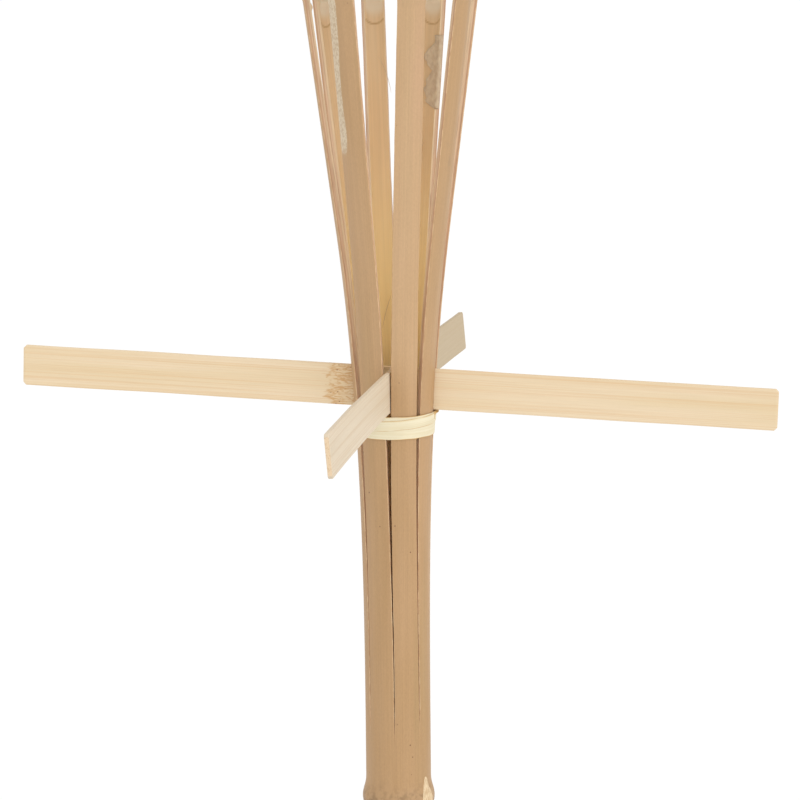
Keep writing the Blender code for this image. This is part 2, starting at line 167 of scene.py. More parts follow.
class Look:
    """A material, built up a node at a time around its Principled shader."""

    def __init__(self, name, roughness, colour, metallic=0.0, specular=0.5):
        self.material = bpy.data.materials.new(name)
        self.material.use_nodes = True
        self.tree = self.material.node_tree
        self.shader = self.tree.nodes["Principled BSDF"]
        self.shader.inputs["Roughness"].default_value = roughness
        self.shader.inputs["Metallic"].default_value = metallic
        self.shader.inputs["Specular IOR Level"].default_value = specular
        self.colour(colour)

    def feed(self, socket, value):
        if isinstance(value, bpy.types.NodeSocket):
            self.tree.links.new(value, socket)
        else:
            socket.default_value = value

    def node(self, kind, values, **settings):
        """A new node with its settings made, and its inputs fed with numbers, colours or other outputs."""
        made = self.tree.nodes.new("ShaderNode" + kind)
        for name, value in settings.items():
            setattr(made, name, value)
        for socket, value in values.items():
            self.feed(made.inputs[socket], value)
        return made

    def mask(self, name):
        """A number painted on the mesh's points."""
        return self.node("Attribute", {}, attribute_name=name).outputs["Fac"]

    def rest(self, across, along, offset):
        """The rest position, multiplied so that patterns are long along the grain."""
        place = self.node("Attribute", {}, attribute_name="rest").outputs["Vector"]
        values = {"Vector": place, "Scale": (across, across, along), "Location": (offset, offset, offset)}
        return self.node("Mapping", values).outputs["Vector"]

    def noise(self, across, along, detail=2.0, offset=0.0, distortion=0.0):
        place = self.rest(across, along, offset)
        values = {"Vector": place, "Scale": 1.0, "Detail": detail, "Distortion": distortion}
        return self.node("TexNoise", values).outputs[0]

    def spots(self, across, along, low, high):
        """1 in scattered round spots, 0 outside: high is their edge and low their middle, in cells."""
        cells = self.node("TexVoronoi", {"Vector": self.rest(across, along, 0.0), "Scale": 1.0})
        return self.remap(cells.outputs["Distance"], high, low)

    def remap(self, value, low, high, to_low=0.0, to_high=1.0):
        values = {"Value": value, "From Min": low, "From Max": high, "To Min": to_low, "To Max": to_high}
        return self.node("MapRange", values, interpolation_type="SMOOTHSTEP").outputs["Result"]

    def cloud(self, numbers, low, high, to_low=0.0, to_high=1.0):
        """Soft-edged clouds, from noise's numbers in order."""
        return self.remap(self.noise(*numbers), low, high, to_low, to_high)

    def math(self, operation, first, second):
        return self.node("Math", {0: first, 1: second}, operation=operation).outputs["Value"]

    def mix(self, share, first, second, blend="MIX"):
        values = {0: share, 6: first, 7: second}
        return self.node("Mix", values, data_type="RGBA", blend_type=blend).outputs[2]

    def colour(self, value):
        """Sets the colour so far, which over, patch and shade work on."""
        self.so_far = value
        self.feed(self.shader.inputs["Base Color"], value)

    def over(self, share, colour):
        self.colour(self.mix(share, self.so_far, colour))

    def patch(self, colour, numbers, low=0.35, high=0.65, most=1.0):
        """Lays clouds of a colour over the one so far."""
        self.over(self.cloud(numbers, low, high, 0.0, most), colour)

    def shade(self, value, dark, light):
        """Makes the colour so far darker or lighter as value goes from 0 to 1."""
        level = self.remap(value, 0.25, 0.75, dark, light)
        grey = self.node("CombineColor", {"Red": level, "Green": level, "Blue": level}).outputs[0]
        self.colour(self.mix(1.0, self.so_far, grey, "MULTIPLY"))

    def roughness(self, value, low, high):
        self.feed(self.shader.inputs["Roughness"], self.remap(value, 0.25, 0.75, low, high))

    def relief(self, height, depth, strength=0.6):
        """Adds fine relief; calls stack up."""
        made = self.node("Bump", {"Strength": strength, "Distance": depth, "Height": height})
        normal = self.shader.inputs["Normal"]
        if normal.is_linked:
            self.feed(made.inputs["Normal"], normal.links[0].from_socket)
        self.feed(normal, made.outputs["Normal"])


def culm_skin():
    """Weathered tan bamboo skin: long fine grain, pink and olive patches, specks and mottled nodes."""
    look = Look("bamboo_skin", 0.5, paint(180, 143, 100), specular=0.35)
    look.patch(paint(187, 150, 109), (60, 9, 3), 0.35, 0.68)
    look.patch(paint(174, 144, 100), (75, 5, 2, 4.0), 0.52, 0.75, 0.55)
    blush = look.math("MULTIPLY", look.mask("blush"), look.cloud((130, 40, 3, 9.0), 0.3, 0.6))
    look.over(blush, paint(194, 148, 120))
    # Paler skin above the slats, most on one strip
    look.over(look.mask("bleach"), paint(214, 180, 142))
    grain = look.noise(1700, 11, 3)
    look.shade(grain, 0.955, 1.035)
    look.shade(look.noise(520, 5, 2, 2.0), 0.98, 1.02)
    look.shade(look.noise(1500, 700, 3), 0.96, 1.03)
    # Mottled brown at the nodes
    ring = look.math("MULTIPLY", look.mask("ring"), look.cloud((120, 260, 3, 1.0), 0.25, 0.6, 0.35))
    brown = look.mix(look.cloud((330, 330, 4, 6.0), 0.42, 0.62), paint(178, 144, 106), paint(148, 118, 84))
    look.over(ring, brown)
    # The whitish scraped band
    flecks = look.cloud((900, 620, 3, 5.0, 0.6), 0.4, 0.58)
    pale = look.mix(flecks, paint(196, 172, 140), paint(214, 196, 168))
    look.over(look.remap(look.mask("scrape"), 0.35, 0.65), pale)
    # Dark specks in clusters, and grey smudges
    specks = look.math("MULTIPLY", look.spots(210, 190, 0.05, 0.1), look.cloud((45, 28, 2, 8.0), 0.54, 0.66))
    look.over(specks, paint(120, 84, 58))
    look.patch(paint(158, 132, 102), (95, 60, 4, 14.0), 0.66, 0.8, 0.4)
    look.roughness(look.noise(300, 20, 2, 3.0), 0.42, 0.58)
    look.relief(grain, 0.00012)
    look.relief(look.noise(160, 14, 2, 11.0), 0.0003, 0.35)
    return look


def culm_corner():
    """The pale corner where the skin has chipped off along a split."""
    look = Look("split_corner", 0.6, paint(196, 156, 114))
    look.patch(paint(222, 190, 148), (600, 220, 3))
    look.relief(look.noise(900, 160, 2), 0.0001)
    return look


def culm_wall():
    """The split wall: pinkish, darker towards the skin, with the dense fibres as dark lines."""
    look = Look("split_wall", 0.65, paint(226, 196, 162))
    bands = look.noise(1500, 7, 2)
    depth = look.mask("depth")
    look.over(look.remap(bands, 0.35, 0.65), paint(208, 172, 138))
    look.over(look.remap(depth, 0.5, 1.0, 0.0, 0.7), paint(238, 216, 178))
    look.over(look.remap(depth, 0.1, 0.45, 0.65, 0.0), paint(188, 140, 106))
    look.patch(paint(164, 116, 88), (2600, 26, 2, 5.0), 0.58, 0.7, 0.6)
    look.shade(look.noise(700, 60, 3, 2.0), 0.93, 1.06)
    look.relief(bands, 0.00025, 0.8)
    look.relief(look.noise(800, 160, 3, 7.0), 0.0002, 0.5)
    return look


def culm_inside():
    """The smooth golden inner face: a warmer tint just above the slats, lightened there as painted light
    where the gap between the strips is in shade, and pale at the diaphragm.
    """
    look = Look("culm_inside", 0.48, paint(222, 188, 142))
    grain = look.noise(900, 12, 3)
    look.patch(paint(230, 199, 156), (70, 8, 2))
    # Painted light over a warmer tint: the inner faces just above the slats, where the gap between the strips
    # lies in shade
    look.over(look.mask("amber"), paint(246, 220, 162))
    look.shade(grain, 0.96, 1.04)
    look.over(look.mask("pith"), paint(234, 214, 184))
    arc = look.math("MULTIPLY", look.mask("arc"), look.cloud((500, 500, 2), 0.2, 0.5, 0.6))
    look.over(arc, paint(190, 150, 100))
    look.roughness(look.noise(200, 20, 2), 0.4, 0.56)
    look.relief(grain, 0.0001, 0.5)
    return look


def end_grain():
    look = Look("end_grain", 0.75, paint(222, 194, 152))
    pores = look.spots(1900, 1900, 0.1, 0.45)
    look.over(pores, paint(150, 112, 74))
    look.shade(look.noise(500, 500, 3), 0.9, 1.05)
    look.relief(pores, 0.0002)
    return look


def scar_wood():
    """The cut face of a branch's base: pale and fibrous, brown round its rim."""
    look = Look("branch_scar", 0.7, paint(226, 202, 164))
    fibre = look.noise(1400, 300, 3)
    look.over(look.remap(fibre, 0.35, 0.65), paint(202, 172, 132))
    look.over(look.remap(look.mask("rim"), 0.6, 1.0), paint(150, 112, 74))
    look.over(look.spots(420, 330, 0.08, 0.2), paint(158, 118, 78))
    look.relief(fibre, 0.0003)
    return look


def slat_wood():
    """Planed pale bamboo: straight fibre lines, and a node's fish-scale figure where its node mask is
    painted.
    """
    look = Look("slat_wood", 0.55, paint(232, 211, 179), specular=0.35)
    lines = look.noise(1500, 4, 3)
    look.patch(paint(226, 203, 165), (90, 6, 2), 0.3, 0.7)
    look.over(look.remap(lines, 0.5, 0.68, 0.0, 0.5), paint(220, 184, 138))
    look.patch(paint(218, 180, 134), (420, 2.5, 2, 3.0), 0.56, 0.72, 0.4)
    look.shade(look.noise(2600, 60, 2, 5.0), 0.975, 1.02)
    scales = look.cloud((1250, 230, 3, 2.0, 1.2), 0.42, 0.6)
    figure = look.mix(scales, paint(226, 201, 162), paint(208, 166, 116))
    dots = look.math("MULTIPLY", look.spots(560, 380, 0.08, 0.2), look.cloud((240, 240, 2), 0.5, 0.6))
    figure = look.mix(dots, figure, paint(140, 96, 72))
    ragged = look.math("ADD", look.mask("knot"), look.cloud((420, 120, 3, 8.0), 0.2, 0.8, -0.35, 0.35))
    look.over(look.remap(ragged, 0.35, 0.65), figure)
    look.roughness(lines, 0.48, 0.62)
    look.relief(lines, 0.00012)
    look.relief(look.noise(300, 120, 3, 6.0), 0.0001, 0.4)
    return look


def slat_cool_wood():
    """The paler, greyer slat that runs front to back, darkened towards its back end as painted shade."""
    look = Look("slat_cool_wood", 0.58, paint(221, 205, 181), specular=0.35)
    lines = look.noise(1300, 4, 3, 1.0)
    look.patch(paint(214, 197, 171), (80, 6, 2, 3.0), 0.3, 0.7)
    look.over(look.remap(lines, 0.48, 0.7, 0.0, 0.6), paint(206, 182, 150))
    # Painted shade: darker towards the slat's back end, from the mask that holds the other slat's node figure
    look.over(look.mask("knot"), paint(190, 170, 138))
    look.shade(look.noise(2400, 80, 2), 0.97, 1.03)
    look.roughness(lines, 0.5, 0.64)
    look.relief(lines, 0.00012)
    return look


def slat_end():
    look = Look("slat_end", 0.7, paint(228, 202, 168))
    pores = look.spots(1500, 1500, 0.1, 0.4)
    look.over(pores, paint(206, 166, 120))
    look.relief(pores, 0.00015)
    return look


def bast():
    """Pale yellow bast: soft lengthwise fibres, golden along its edges."""
    look = Look("bast", 0.62, paint(232, 222, 193), specular=0.3)
    fibre = look.noise(1300, 18, 3)
    look.over(look.remap(fibre, 0.35, 0.65), paint(226, 213, 179))
    edge = look.remap(look.mask("edge"), 0.86, 1.0)
    golden = look.math("MULTIPLY", edge, look.cloud((60, 60, 2, 7.0), 0.36, 0.5))
    look.over(golden, paint(206, 162, 92))
    look.over(look.mask("tone"), paint(204, 158, 84))
    look.shade(look.noise(160, 60, 2, 4.0), 0.97, 1.03)
    look.relief(fibre, 0.00018)
    look.relief(look.noise(260, 60, 2, 2.0), 0.0004, 0.4)
    return look


def weaver_wood():
    """A flat split weaver: satin skin outside, with its own shade for each row."""
    look = Look("weaver_wood", 0.5, paint(206, 170, 122), specular=0.35)
    grain = look.noise(1900, 16, 3)
    look.patch(paint(218, 186, 140), (90, 16, 3))
    look.over(look.mask("tone"), paint(190, 148, 100))
    look.shade(grain, 0.92, 1.06)
    look.over(look.remap(look.mask("edge"), 0.7, 1.0, 0.0, 0.6), paint(232, 204, 160))
    specks = look.math("MULTIPLY", look.spots(420, 160, 0.08, 0.16), look.cloud((60, 30, 2), 0.55, 0.7))
    look.over(specks, paint(120, 82, 54))
    look.roughness(look.noise(300, 20, 2), 0.42, 0.6)
    look.relief(grain, 0.00014)
    return look


def membrane():
    """The papery skin and hairs that peel from the inner faces."""
    look = Look("membrane", 0.7, paint(196, 172, 142))
    look.patch(paint(214, 194, 164), (500, 300, 3), 0.3, 0.7)
    look.relief(look.noise(700, 500, 3), 0.0003)
    return look


def tinplate(name, tint, wear):
    """Rolled tinplate: fine lines round the can, soft smears, and darker oil stains."""
    look = Look(name, 0.34, tint, metallic=1.0)
    look.patch(paint(206, 204, 196), (60, 60, 4, wear, 0.8), 0.35, 0.7)
    look.patch(paint(150, 140, 120), (110, 110, 4, wear + 5.0), 0.6, 0.78, 0.55)
    look.roughness(look.noise(170, 900, 3, wear), 0.26, 0.46)
    look.relief(look.noise(9, 2600, 2), 0.00006, 0.4)
    look.relief(look.noise(140, 140, 2, 3.0), 0.0004, 0.25)
    return look


def brass():
    """Turned brass: fine lathe lines, with browner tarnish in patches."""
    look = Look("brass", 0.3, paint(222, 184, 108), metallic=1.0)
    look.patch(paint(168, 124, 66), (240, 240, 4, 2.0), 0.45, 0.72, 0.75)
    look.roughness(look.noise(400, 2400, 2), 0.22, 0.44)
    look.relief(look.noise(20, 5200, 2), 0.00005, 0.4)
    return look


def rubber():
    look = Look("rubber", 0.75, paint(40, 40, 42))
    look.over(look.noise(500, 500, 3), paint(62, 61, 60))
    look.relief(look.noise(1800, 1800, 2), 0.00008)
    return look


def wick_fibre():
    """Braided glass fibre, white below and scorched at its top."""
    look = Look("wick_fibre", 0.85, paint(228, 222, 206))
    strands = look.noise(2600, 500, 3)
    look.over(look.remap(strands, 0.3, 0.7), paint(206, 196, 174))
    soot = look.math("ADD", look.mask("soot"), look.cloud((500, 500, 3), 0.2, 0.8, -0.25, 0.25))
    look.over(look.remap(soot, 0.3, 0.8), paint(52, 44, 38))
    look.relief(strands, 0.00025)
    return look


# Meshes


class Mesh:
    """Points with their rest places and painted numbers, and faces with their materials."""

    def __init__(self):
        self.points = []
        self.rests = []
        self.masks = {}
        self.faces = []
        self.looks = []

    def point(self, place, rest, **masks):
        self.points.append(Vector(place))
        self.rests.append(Vector(rest))
        for name, value in masks.items():
            self.masks.setdefault(name, {})[len(self.points) - 1] = value
        return len(self.points) - 1

    def face(self, corners, look=0):
        self.faces.append(corners)
        self.looks.append(look)

    def skin(self, rows, looks=(0,), ring=True):
        """Quads between rows of points; looks gives the material of each place along a row."""
        for below, above in zip(rows, rows[1:]):
            for i in range(len(below) - (not ring)):
                j = (i + 1) % len(below)
                self.face((below[i], below[j], above[j], above[i]), looks[i % len(looks)])

    def tube(self, rows, looks=(0,), end=0):
        """A closed tube: the skin of its rows, and a face over each end."""
        self.skin(rows, looks)
        self.face(rows[0], end)
        self.face(rows[-1], end)

    def piece(self, name, looks, replaces=(), smooth_angle=40, body="torch_frame"):
        """The finished object, riding on its body."""
        data = bpy.data.meshes.new(name)
        data.from_pydata(self.points, [], self.faces)
        data.polygons.foreach_set("material_index", self.looks)
        rest = data.attributes.new("rest", "FLOAT_VECTOR", "POINT")
        rest.data.foreach_set("vector", [value for place in self.rests for value in place])
        for mask, painted in self.masks.items():
            made = data.attributes.new(mask, "FLOAT", "POINT")
            made.data.foreach_set("value", [painted.get(i, 0.0) for i in range(len(self.points))])
        made = bmesh.new()
        made.from_mesh(data)
        bmesh.ops.remove_doubles(made, verts=made.verts, dist=2e-6)
        bmesh.ops.recalc_face_normals(made, faces=made.faces)
        made.to_mesh(data)
        made.free()
        data.shade_smooth()
        data.set_sharp_from_angle(angle=radians(smooth_angle))
        for look in looks:
            data.materials.append(look.material)
        obj = add_object(name, data)
        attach(obj, body)
        if replaces:
            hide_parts(*replaces)
        return obj


def heights(low, high):
    """Heights of a culm's rows: close together at the nodes and far apart elsewhere."""
    found = [low]
    while found[-1] < high - 1e-6:
        z = found[-1]
        to_node = min(abs(z - (node - 0.008)) for node in NODES)
        near = smooth(1 - (to_node - 0.019) / 0.01)
        step = FLAT_STEP + (NODE_STEP - FLAT_STEP) * near
        found.append(min(z + step, high))
    return found


def opening(z):
    """How far a strip has moved out from where it grew, as in the CAD model."""
    widest_gap = SLAT_THICKNESS + 2 * SLAT_CLEARANCE - KERF
    at_slats = widest_gap / (2 * sin(SECTOR / 2))
    run_to_slats = SLAT_Z - SLAT_WIDTH / 2 - ROOT_Z
    straight_from = SLAT_Z + BENT_ABOVE_SLATS
    bent_z = min(z, straight_from)
    run = max(bent_z - ROOT_Z, 0.0)
    out = at_slats * (run / run_to_slats) ** OPENING_POWER
    slope = OPENING_POWER * out / run if run > 0 else 0.0
    out += slope * (min(z, UPPER_NODE_Z) - bent_z)
    above = max(z - UPPER_NODE_Z, 0.0)
    straightening = (slope - TOP_SLOPE) / (TOP_Z - UPPER_NODE_Z)
    return out + slope * above - straightening * above**2 / 2


def skin_radius(angle, z):
    """The culm's outside, with its ridges, the sheaths' scars and a slight unevenness."""
    radius = CULM_RADIUS
    for node in NODES:
        if abs(z - node) > 2 * NODE_HALF_HEIGHT:
            continue
        side = polar(1, angle, node * 40)
        ridge = NODE_SWELLING * bump(z - node, NODE_HALF_HEIGHT) ** 1.4
        radius += ridge * (0.93 + 0.12 * noise.noise(side * 1.5))
        below = 0.001 if node == UPPER_NODE_Z else SCAR_BELOW_RIDGE
        from_scar = z - (node - below + 0.0009 * noise.noise(side * 2.2))
        radius += SCAR_LIP * (bump(from_scar, 0.0014) - 0.5 * bump(from_scar + 0.0022, 0.0018))
        radius += 0.0001 * noise.noise(polar(9, angle, z * 900)) * bump(z - node, 0.012)
    return radius - 0.00006 + 0.00012 * noise.noise(polar(1.3, angle, z * 9))


def ring_mask(angle, z):
    """How mottled the skin is by a node."""
    reach = 0.003 * noise.noise(polar(1.7, angle, z * 60))
    marks = [bump(z - node + 0.001, 0.013 + reach) for node in NODES[:2]]
    return max(*marks, bump(z - UPPER_NODE_Z - 0.004, 0.009 + reach))


def below_basket(z):
    """0 where the strips are woven and all of one width, 1 below."""
    return 1 - smooth((z - EVEN_FROM_Z) / EVEN_RUN)


def split_angle(split, z):
    """The angle of a split, which wanders along the fibres and evens out on the way up to the slats."""
    even = smooth((z - ROOT_Z) / (SLAT_Z - SLAT_WIDTH / 2 - ROOT_Z))
    shift = SPLIT_DRIFT[split % STRIPS] * (1 - even) + KEPT_DRIFT[split % STRIPS] * even * below_basket(z)
    wander = radians(0.5) * drift(split + 1, z, 0.045) + radians(0.16) * drift(split + 21, z, 0.009)
    return SECTOR * split + shift + wander * smooth((z - ROOT_Z) / 0.03)


def crack_half_width(split, z):
    """Half the width that a split has of itself, without the strips' movement."""
    run = max(z - SPLIT_END_Z[split % STRIPS], 0.0)
    return KERF / 2 * min(run / 0.02, 1.0) ** 0.6


def diaphragm_step(share, z):
    """The inner face by the diaphragm's remains: height, arc line and paleness; share is -1 to 1 across."""
    middle = UPPER_NODE_Z - DIAPHRAGM_BELOW_RIDGE
    lower = middle - 0.0085 - 0.0045 * sqrt(max(1 - share**2, 0.0))
    above = smooth((z - middle - 0.001) / 0.003)
    height = 0.0002 * smooth((z - lower) / 0.001) * (1 - above) + DIAPHRAGM_STUB * bump(z - middle, 0.0024)
    return height, bump(z - lower, 0.0009), smooth((z - lower - 0.002) / 0.006) * (1 - 0.6 * above)


def strip_row(mesh, index, z):
    """One cut across a strip: skin, corner, wall, inner face and wall again."""
    first, last = (split_angle(index + side, z) for side in (0, 1))
    centre = SECTOR * (index + 0.5)
    out = opening(z)
    parted = (min(out / 0.0059, 1.0) + smooth((z - 0.68) / 0.18)) * below_basket(z)
    first += EDGE_GAIN.get((index, 0), 0.0) * parted
    last += EDGE_GAIN.get((index, 1), 0.0) * parted
    shift = polar(out, centre)
    edge = CORNER * smooth((z - ROOT_Z) / 0.02)
    half_first, half_last = (crack_half_width(index + side, z) for side in (0, 1))
    # A warmer tint with painted light on the inner faces just above the slats, where the gap is in shade
    amber = bump(z - SLAT_Z - 0.03, 0.11) * (z > SLAT_Z - 0.02)
    row = []

    def add(radius, low, high, share, **masks):
        start = low + asin(half_first / radius)
        end = high - asin(half_last / radius)
        angle = start + (end - start) * share
        rest = polar(radius, angle, z)
        row.append(mesh.point(rest + shift, rest, **masks))

    inset = edge / CULM_RADIUS
    for share in shares(ARC_STEPS):
        angle = first + (last - first) * share
        scraped = 0.0
        if index == SCRAPED_STRIP:
            reach = 0.34 + 0.05 * drift(3, z, 0.03) + 0.1 * smooth((z - 0.82) / 0.05)
            scraped = smooth((reach - share) / 0.1 + 0.5) * smooth((z - 0.776) / 0.022)
        blush = 0.0
        if index in BLUSHED_STRIPS:
            blush = 0.35 * bump(z - 0.83, 0.06) * smooth(share * 1.6 - 0.2)
        # Paler skin from just below the slats upwards, most on one strip
        bleach = (0.4 if index == PALEST_UPPER_STRIP else 0.14) * smooth((z - 0.64) / 0.05)
        add(skin_radius(angle, z), first + inset, last - inset, share, ring=ring_mask(angle, z),
            scrape=scraped, blush=blush, bleach=bleach)
    outer = skin_radius(last, z) - edge
    inner = CULM_BORE + 0.0001 * drift(index + 40, z, 0.05)

    def add_wall(side, steps):
        for step in steps:
            fibres = 0.00011 * drift(index * 10 + step + 50 * side, z, 0.02) * (0 < step < WALL_STEPS)
            along = fibres * smooth((z - ROOT_Z) / 0.05) / CULM_RADIUS
            depth = step / WALL_STEPS
            radius = outer + (inner - outer) * depth
            add(radius, first + along, last + along, side, depth=depth, amber=amber)

    add_wall(1, range(WALL_STEPS + 1))
    for step in range(1, ARC_STEPS):
        share = 1 - step / ARC_STEPS
        height, arc, pith = diaphragm_step(2 * share - 1, z)
        add(inner - height, first, last, share, amber=amber, arc=arc, pith=pith)
    add_wall(0, range(WALL_STEPS, -1, -1))
    return row


def make_strips(looks):
    """The eight strips, each from the splits' root to its cut top end."""
    # Skin, corner, wall, inner face, wall and corner, by their places in looks
    order = [0] * ARC_STEPS + [1] + [2] * WALL_STEPS + [3] * ARC_STEPS + [2] * WALL_STEPS + [1]
    for index in range(STRIPS):
        node = f"strip_{index + 1}"
        mesh = Mesh()
        rows = [strip_row(mesh, index, z) for z in heights(ROOT_Z, TOP_Z)]
        mesh.tube(rows, order, 4)
        mesh.piece(f"split_{node}", looks, [node], 35)


def make_pole(looks):
    """The whole culm below the splits, cut slanting at its lower end, with its diaphragms inside."""
    foot_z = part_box("pole")[0].z
    mesh = Mesh()

    def ring(radius_of, z, inside):
        row = []
        for strip in range(STRIPS):
            first, last = (split_angle(strip + side, ROOT_Z) for side in (0, 1))
            for step in range(ARC_STEPS):
                angle = first + (last - first) * step / ARC_STEPS
                place = polar(radius_of(angle, z), angle, z)
                cut_z = foot_z + TIP_CUT_HEIGHT * (CULM_RADIUS - place.x) / (2 * CULM_RADIUS)
                place.z = max(z, min(cut_z, ROOT_Z))
                mottled = 0.0 if inside else ring_mask(angle, z)
                row.append(mesh.point(place, place, ring=mottled))
        return row

    outer = [ring(skin_radius, z, False) for z in heights(foot_z, ROOT_Z)]
    bore = [(CULM_BORE, foot_z)]
    for node in (LOWEST_NODE_Z, LOWER_NODE_Z):
        middle = node - DIAPHRAGM_BELOW_RIDGE
        for sign in (-1, 1):
            web = [(CULM_BORE, 0.004), (CULM_BORE - 0.001, 0.0005), (CULM_BORE - 0.005, 0.0002)]
            web += [(DIAPHRAGM_HOLE + 0.0004, 0.0), (DIAPHRAGM_HOLE, -0.0004)]
            places = [(radius, middle + sign * (DIAPHRAGM_HALF + up)) for radius, up in web]
            bore += places if sign < 0 else reversed(places)
    bore += [(CULM_BORE, ROOT_Z)]
    inner = [ring(lambda angle, z, r=radius: r, z, True) for radius, z in bore]
    mesh.skin(outer, [0])
    mesh.skin(inner, [3])
    mesh.skin([inner[0], outer[0]], [4])
    mesh.skin([outer[-1], inner[-1]], [4])
    mesh.piece("lower_culm", looks, ["pole"], 35)


def make_branch_scars(look):
    """Pale cut bases of branches, pointed at the top, against the culm just above a sheath's scar."""
    steps_up, steps_across = 26, 14
    for count, (node, angle) in enumerate(BRANCH_SCARS):
        mesh = Mesh()
        rows = []
        bottom, top = node - 0.0065, node + 0.0135
        for up in shares(steps_up):
            z = bottom + (top - bottom) * up
            half = 0.0074 * (1 - up) ** 0.9 * (1 + 0.05 * drift(count + 5, z, 0.002)) + 0.0002
            row = []
            for j in range(steps_across + 1):
                across = 2 * j / steps_across - 1
                turn = angle + across * half / CULM_RADIUS
                rim = max(abs(across) ** 3, smooth((up - 0.86) / 0.14), smooth((0.1 - up) / 0.1))
                proud = 0.0007 * (1 - rim) - 0.0004 * rim
                radius = skin_radius(turn, z) + proud + 0.0001 * drift(j + 3, z, 0.002)
                place = polar(radius, turn, z)
                row.append(mesh.point(place, place, rim=rim))
            rows.append(row)
        mesh.skin(rows, ring=False)
        back = mesh.point(polar(0.015, angle, node), (0, 0, node), rim=1.0)
        border = rows[0] + [row[-1] for row in rows[1:]]
        border += rows[-1][-2::-1] + [row[0] for row in rows[-2:0:-1]]
        for a, b in zip(border, border[1:] + border[:1]):
            mesh.face((b, a, back))
        mesh.piece(f"branch_scar_{count + 1}", [look], smooth_angle=60)


def make_slat(name, notch_side, heading, tilt, looks, bow, twist, knot_and_shade_at):
    """A flat slat on edge with rounded arrises, notched half its width at the middle."""
    half_length = SLAT_LENGTH / 2
    notch = SLAT_THICKNESS / 2 + 0.0007
    steps = 50
    edges = {half_length, half_length - SLAT_CHAMFER, half_length - 0.0004, notch}
    places = sorted({round(half_length * i / steps, 5) for i in range(steps)} | edges)
    places = [s for s in places if s == notch or abs(s - notch) > 0.0008]
    stations = [-s for s in reversed(places)] + [s for s in places if s > 0]
    turn = Matrix.Rotation(heading, 4, "Z") @ Matrix.Rotation(tilt, 4, "Y")
    mesh = Mesh()

    def row(along, notched):
        thick = SLAT_THICKNESS / 2 - 0.0002 * smooth((abs(along) - half_length + 0.0004) / 0.0004)
        half = SLAT_WIDTH / 2 - max(abs(along) - (half_length - SLAT_CHAMFER), 0.0)
        low = -half + 0.00018 * (drift(notch_side + 3, along, 0.05) - 0.6)
        high = half + 0.00018 * (drift(notch_side + 9, along, 0.05) - 0.6)
        if notched and notch_side > 0:
            high = 0.0
        if notched and notch_side < 0:
            low = 0.0
        # Down one wide face and up the other, closely enough to carry the wood's slight cup
        inner = [low * (1 - share) + high * share for share in (0.34, 0.5, 0.66)]
        across = [low, low + SLAT_ARRIS, *inner, high - SLAT_ARRIS, high]
        outline = [(thick - SLAT_ARRIS * (i in (0, 6)), up) for i, up in enumerate(across)]
        outline += [(-side, up) for side, up in reversed(outline)]
        cup = bow * (along / half_length) ** 2 - 0.00003 * drift(notch_side + 30, along, 0.03)
        lean = Matrix.Rotation(twist * smooth((abs(along) - 0.02) / 0.15), 3, "X")
        # The node's figure on the left-right slat, and painted shade towards the back end on the front-back
        # slat
        shade = knot_and_shade_at(along)
        found = []
        for side, up in outline:
            place = turn @ (lean @ Vector((along, side, up)) + Vector((0, cup, 0))) + Vector((0, 0, SLAT_Z))
            found.append(mesh.point(place, (side, up + 0.04 * notch_side, along), knot=shade))
        return found

    rows = []
    for along in stations:
        if abs(abs(along) - notch) < 1e-6:
            rows += [row(along, along > 0), row(along, along < 0)]
        else:
            rows.append(row(along, abs(along) < notch))
    mesh.tube(rows, end=1)
    mesh.piece(name, looks, [f"cross_{name}"], 30)


def wrapped_radius(angle, z):
    """The outside of the strips as a taut band finds it: round over each strip, straight between two."""
    out = opening(z)
    half = SECTOR / 2
    corner = polar(CULM_RADIUS, half * 0.96) + Vector((out, 0, 0))
    local = (angle % SECTOR) - half
    corner_angle = atan2(corner.y, corner.x)
    if abs(local) > corner_angle:
        reach = corner.x * cos(half) + corner.y * sin(half)
        return reach / cos(half - abs(local))
    across = out * sin(local)
    return out * cos(local) + sqrt(CULM_RADIUS**2 - across**2)


def ribbon(mesh, stations, width_steps=8, thickness=0.0003, tone=0.0):
    """A flat ribbon through stations of (middle, outward, along the width, width, rest length)."""
    rows = []
    for middle, outward, sideways, width, length in stations:
        ring = []
        for side in (1, -1):
            for step in range(width_steps + 1):
                across = side * (2 * step / width_steps - 1)
                thin = 1 - 0.55 * abs(across) ** 6
                place = middle + sideways * (across * width / 2) + outward * (side * thickness / 2 * thin)
                rest = (across * width / 2, side * thickness, length)
                ring.append(mesh.point(place, rest, edge=abs(across), tone=tone))
        rows.append(ring)
    mesh.tube(rows)


